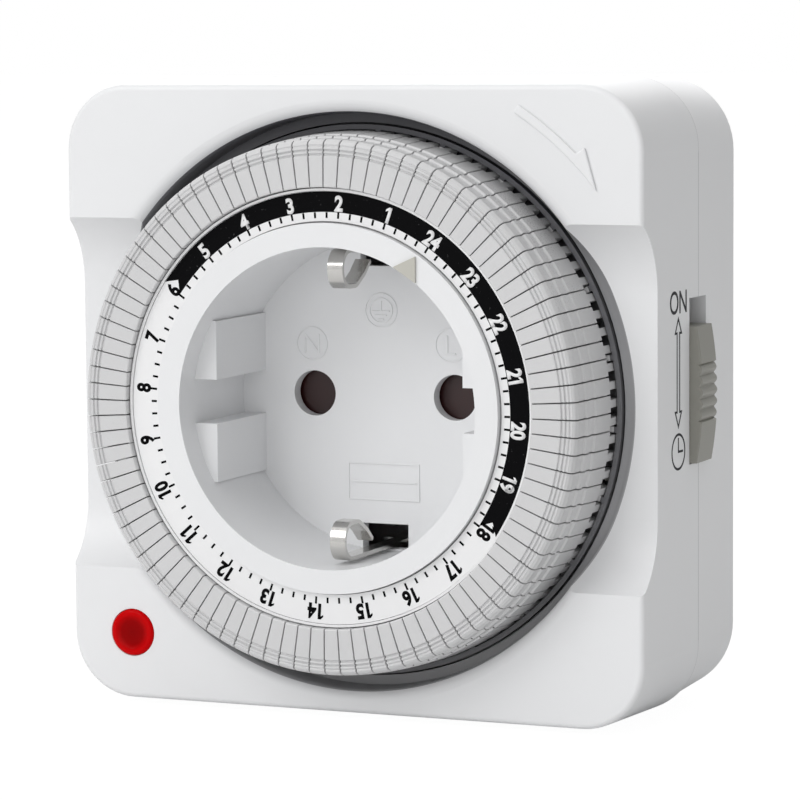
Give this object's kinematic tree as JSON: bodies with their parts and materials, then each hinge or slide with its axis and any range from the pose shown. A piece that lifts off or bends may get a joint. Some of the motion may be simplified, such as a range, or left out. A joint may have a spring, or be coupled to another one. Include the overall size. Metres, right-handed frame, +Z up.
{
  "type": "plug-in timer switch",
  "caption": "Plug-in mechanical timer: square white housing with a ring of hour tappets around an earthed socket, side override slide, round two-pin earthed plug behind.",
  "frame": {"origin": "middle of the plug's end face, on the axis that the plug and the socket share", "axes": "+X to the right seen from the front, +Y back into the wall along the plug pins, +Z up"},
  "size_m": [0.0792, 0.0763, 0.0784],
  "materials": {
    "case_white": "fine satin moulded texture",
    "cup_white": "smooth moulded plastic",
    "dial_white": "smooth moulded plastic",
    "scale_print": "white disc printed with a black and white hour scale",
    "tappet_plastic": "smooth light grey moulded plastic",
    "pointer_grey": "smooth grey moulded plastic",
    "knob_grey": "satin grey moulded plastic",
    "nickel_strip": "nickel plated sheet, rolled finish",
    "nickel_pin": "nickel plated turned brass",
    "brass_strip": "rolled brass sheet",
    "inner_plastic": "natural moulded plastic",
    "gear_plastic": "natural acetal",
    "shutter_red": "dark red moulded plastic",
    "spring_steel": "drawn spring wire",
    "screw_steel": "zinc plated steel",
    "motor_steel": "drawn zinc plated can",
    "copper_coil": "enamelled copper winding",
    "rotor_magnet": "dark ferrite magnet",
    "lens_red": "clear red moulded lens",
    "lamp_glass": "clear lamp glass",
    "resistor_body": "lacquered resistor body",
    "bare_lead": "tinned wire",
    "lead_insulation": "wire insulation"
  },
  "bodies": {
    "housing": {"front_housing": "case_white", "rear_housing": "case_white", "socket_cup": "cup_white", "time_pointer": "pointer_grey", "earth_strap": "nickel_strip", "plug_pin_live": "nickel_pin", "plug_pin_neutral": "nickel_pin", "contact_block": "inner_plastic", "shutter_spring": "spring_steel", "neutral_strip": "brass_strip", "live_feed_strip": "brass_strip", "live_load_strip": "brass_strip", "lever_pin": "spring_steel", "motor_gearbox": "inner_plastic", "motor_can": "motor_steel", "motor_coil": "copper_coil", "lamp_lens": "lens_red", "neon_lamp": "lamp_glass", "lamp_resistor": "resistor_body", "lamp_lead_neutral": "bare_lead", "lamp_lead_live": "bare_lead", "lamp_lead_load": "bare_lead", "motor_lead_neutral": "lead_insulation", "motor_lead_live": "lead_insulation", "housing_screws": "screw_steel", "cup_screws": "screw_steel"},
    "dial": {"dial_wheel": "dial_white", "ring_gear": "gear_plastic", "scale_ring": "scale_print"},
    "pinion": {"drive_pinion": "gear_plastic"},
    "rotor": {"motor_rotor": "rotor_magnet"},
    "shutter": {"safety_shutter": "shutter_red"},
    "lever": {"trip_lever": "inner_plastic"},
    "arm": {"contact_arm": "brass_strip"},
    "knob": {"override_knob": "knob_grey"},
    "hour_01": {"tappets_hour_01": "tappet_plastic"},
    "hour_02": {"tappets_hour_02": "tappet_plastic"},
    "hour_03": {"tappets_hour_03": "tappet_plastic"},
    "hour_04": {"tappets_hour_04": "tappet_plastic"},
    "hour_05": {"tappets_hour_05": "tappet_plastic"},
    "hour_06": {"tappets_hour_06": "tappet_plastic"},
    "hour_07": {"tappets_hour_07": "tappet_plastic"},
    "hour_08": {"tappets_hour_08": "tappet_plastic"},
    "hour_09": {"tappets_hour_09": "tappet_plastic"},
    "hour_10": {"tappets_hour_10": "tappet_plastic"},
    "hour_11": {"tappets_hour_11": "tappet_plastic"},
    "hour_12": {"tappets_hour_12": "tappet_plastic"},
    "hour_13": {"tappets_hour_13": "tappet_plastic"},
    "hour_14": {"tappets_hour_14": "tappet_plastic"},
    "hour_15": {"tappets_hour_15": "tappet_plastic"},
    "hour_16": {"tappets_hour_16": "tappet_plastic"},
    "hour_17": {"tappets_hour_17": "tappet_plastic"},
    "hour_18": {"tappets_hour_18": "tappet_plastic"},
    "hour_19": {"tappets_hour_19": "tappet_plastic"},
    "hour_20": {"tappets_hour_20": "tappet_plastic"},
    "hour_21": {"tappets_hour_21": "tappet_plastic"},
    "hour_22": {"tappets_hour_22": "tappet_plastic"},
    "hour_23": {"tappets_hour_23": "tappet_plastic"},
    "hour_24": {"tappets_hour_24": "tappet_plastic"}
  },
  "joints": [
    {"name": "dial_turn", "type": "hinge", "parent": "housing", "child": "dial", "pos_m": [0, -0.0502, 0], "axis": [0, 1, 0], "continuous": true},
    {"name": "pinion_turn", "type": "hinge", "parent": "housing", "child": "pinion", "pos_m": [-0.02604, -0.0387, 0], "axis": [0, 1, 0], "continuous": true},
    {"name": "rotor_turn", "type": "hinge", "parent": "housing", "child": "rotor", "pos_m": [-0.02604, -0.0262, 0], "axis": [0, 1, 0], "continuous": true},
    {"name": "shutter_turn", "type": "hinge", "parent": "housing", "child": "shutter", "pos_m": [0, -0.0359, 0], "axis": [0, 1, 0], "range_deg": [0, 38], "stiffness_Nm_per_rad": 0.0005},
    {"name": "lever_tilt", "type": "hinge", "parent": "housing", "child": "lever", "pos_m": [0.0249, -0.0386, -0.00866], "axis": [0, 0, 1], "range_deg": [0, 10]},
    {"name": "arm_flex", "type": "hinge", "parent": "housing", "child": "arm", "pos_m": [0.0226, -0.0297, -0.021], "axis": [0, -1, 0], "range_deg": [0, 7.2], "stiffness_Nm_per_rad": 0.002},
    {"name": "knob_slide", "type": "slide", "parent": "housing", "child": "knob", "axis": [0, 0, 1], "range_m": [0, 0.0033]},
    {"name": "hour_01_press", "type": "slide", "parent": "dial", "child": "hour_01", "axis": [0, 1, 0], "range_m": [0, 0.0014]},
    {"name": "hour_02_press", "type": "slide", "parent": "dial", "child": "hour_02", "axis": [0, 1, 0], "range_m": [0, 0.0014]},
    {"name": "hour_03_press", "type": "slide", "parent": "dial", "child": "hour_03", "axis": [0, 1, 0], "range_m": [0, 0.0014]},
    {"name": "hour_04_press", "type": "slide", "parent": "dial", "child": "hour_04", "axis": [0, 1, 0], "range_m": [0, 0.0014]},
    {"name": "hour_05_press", "type": "slide", "parent": "dial", "child": "hour_05", "axis": [0, 1, 0], "range_m": [0, 0.0014]},
    {"name": "hour_06_press", "type": "slide", "parent": "dial", "child": "hour_06", "axis": [0, 1, 0], "range_m": [0, 0.0014]},
    {"name": "hour_07_press", "type": "slide", "parent": "dial", "child": "hour_07", "axis": [0, 1, 0], "range_m": [0, 0.0014]},
    {"name": "hour_08_press", "type": "slide", "parent": "dial", "child": "hour_08", "axis": [0, 1, 0], "range_m": [0, 0.0014]},
    {"name": "hour_09_press", "type": "slide", "parent": "dial", "child": "hour_09", "axis": [0, 1, 0], "range_m": [0, 0.0014]},
    {"name": "hour_10_press", "type": "slide", "parent": "dial", "child": "hour_10", "axis": [0, 1, 0], "range_m": [0, 0.0014]},
    {"name": "hour_11_press", "type": "slide", "parent": "dial", "child": "hour_11", "axis": [0, 1, 0], "range_m": [0, 0.0014]},
    {"name": "hour_12_press", "type": "slide", "parent": "dial", "child": "hour_12", "axis": [0, 1, 0], "range_m": [0, 0.0014]},
    {"name": "hour_13_press", "type": "slide", "parent": "dial", "child": "hour_13", "axis": [0, 1, 0], "range_m": [0, 0.0014]},
    {"name": "hour_14_press", "type": "slide", "parent": "dial", "child": "hour_14", "axis": [0, 1, 0], "range_m": [0, 0.0014]},
    {"name": "hour_15_press", "type": "slide", "parent": "dial", "child": "hour_15", "axis": [0, 1, 0], "range_m": [0, 0.0014]},
    {"name": "hour_16_press", "type": "slide", "parent": "dial", "child": "hour_16", "axis": [0, 1, 0], "range_m": [0, 0.0014]},
    {"name": "hour_17_press", "type": "slide", "parent": "dial", "child": "hour_17", "axis": [0, 1, 0], "range_m": [0, 0.0014]},
    {"name": "hour_18_press", "type": "slide", "parent": "dial", "child": "hour_18", "axis": [0, 1, 0], "range_m": [0, 0.0014]},
    {"name": "hour_19_press", "type": "slide", "parent": "dial", "child": "hour_19", "axis": [0, 1, 0], "range_m": [0, 0.0014]},
    {"name": "hour_20_press", "type": "slide", "parent": "dial", "child": "hour_20", "axis": [0, 1, 0], "range_m": [0, 0.0014]},
    {"name": "hour_21_press", "type": "slide", "parent": "dial", "child": "hour_21", "axis": [0, 1, 0], "range_m": [0, 0.0014]},
    {"name": "hour_22_press", "type": "slide", "parent": "dial", "child": "hour_22", "axis": [0, 1, 0], "range_m": [0, 0.0014]},
    {"name": "hour_23_press", "type": "slide", "parent": "dial", "child": "hour_23", "axis": [0, 1, 0], "range_m": [0, 0.0014]},
    {"name": "hour_24_press", "type": "slide", "parent": "dial", "child": "hour_24", "axis": [0, 1, 0], "range_m": [0, 0.0014]}
  ],
  "couplings": [
    {"joint": "pinion_turn", "follows": "dial_turn", "ratio": -7.6667},
    {"joint": "lever_tilt", "follows": "arm_flex", "ratio": 1.388}
  ]
}
